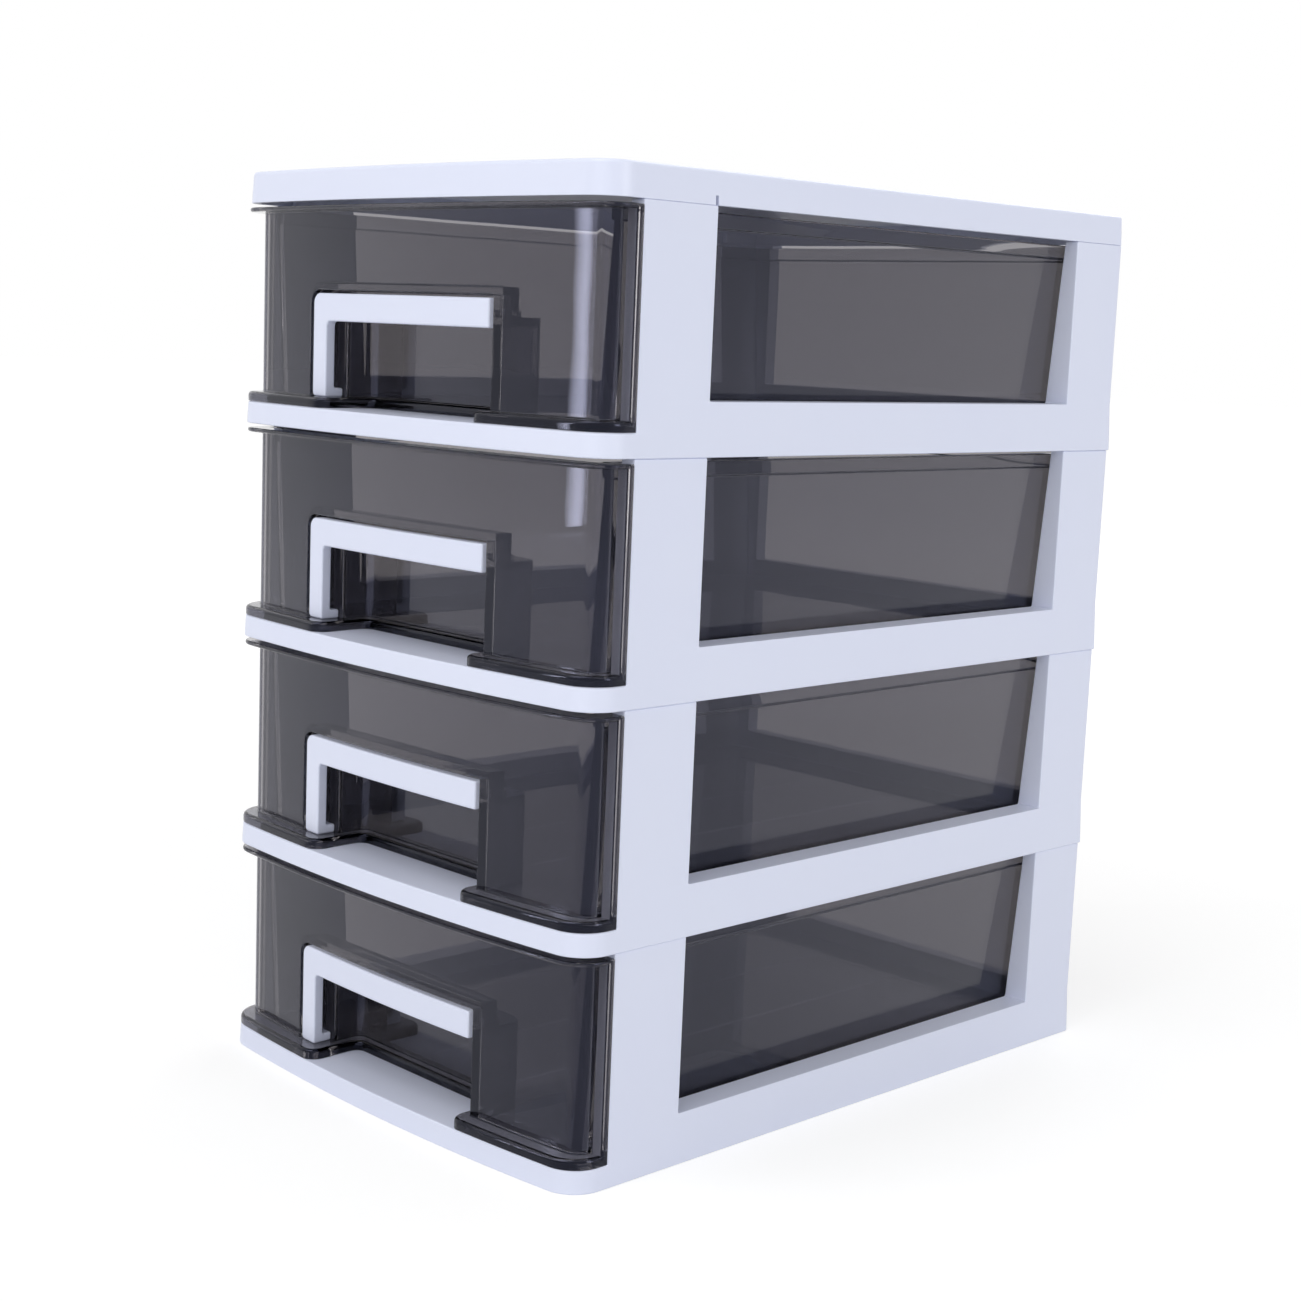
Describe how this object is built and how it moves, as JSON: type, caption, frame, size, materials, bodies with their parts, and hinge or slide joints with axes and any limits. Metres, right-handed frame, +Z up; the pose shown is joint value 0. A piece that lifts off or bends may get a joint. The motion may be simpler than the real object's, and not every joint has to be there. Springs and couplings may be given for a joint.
{
  "type": "desktop drawer organizer",
  "caption": "Desktop organizer with a white stacking frame, a lid, and smoked clear drawers that slide out by white bar handles.",
  "frame": {"origin": "middle of the footprint, on the surface that the cabinet stands on", "axes": "+X to the right seen from the front, +Y towards the back, +Z up; the drawers pull out towards -Y"},
  "size_m": [0.125, 0.177, 0.207],
  "materials": {
    "white_plastic": "satin gloss white moulded plastic with a cool tint",
    "smoked_plastic": "clear glossy plastic with a smoke grey tint"
  },
  "bodies": {
    "cabinet": {"lid": "white_plastic", "bottom_frame": "white_plastic", "lower_frame": "white_plastic", "upper_frame": "white_plastic", "top_frame": "white_plastic"},
    "bottom_drawer": {"bottom_drawer": "smoked_plastic", "bottom_handle": "white_plastic"},
    "lower_drawer": {"lower_drawer": "smoked_plastic", "lower_handle": "white_plastic"},
    "upper_drawer": {"upper_drawer": "smoked_plastic", "upper_handle": "white_plastic"},
    "top_drawer": {"top_drawer": "smoked_plastic", "top_handle": "white_plastic"}
  },
  "joints": [
    {"name": "bottom_drawer_slide", "type": "slide", "parent": "cabinet", "child": "bottom_drawer", "axis": [0, -1, 0], "range_m": [0, 0.115]},
    {"name": "lower_drawer_slide", "type": "slide", "parent": "cabinet", "child": "lower_drawer", "axis": [0, -1, 0], "range_m": [0, 0.115]},
    {"name": "upper_drawer_slide", "type": "slide", "parent": "cabinet", "child": "upper_drawer", "axis": [0, -1, 0], "range_m": [0, 0.115]},
    {"name": "top_drawer_slide", "type": "slide", "parent": "cabinet", "child": "top_drawer", "axis": [0, -1, 0], "range_m": [0, 0.115]}
  ]
}
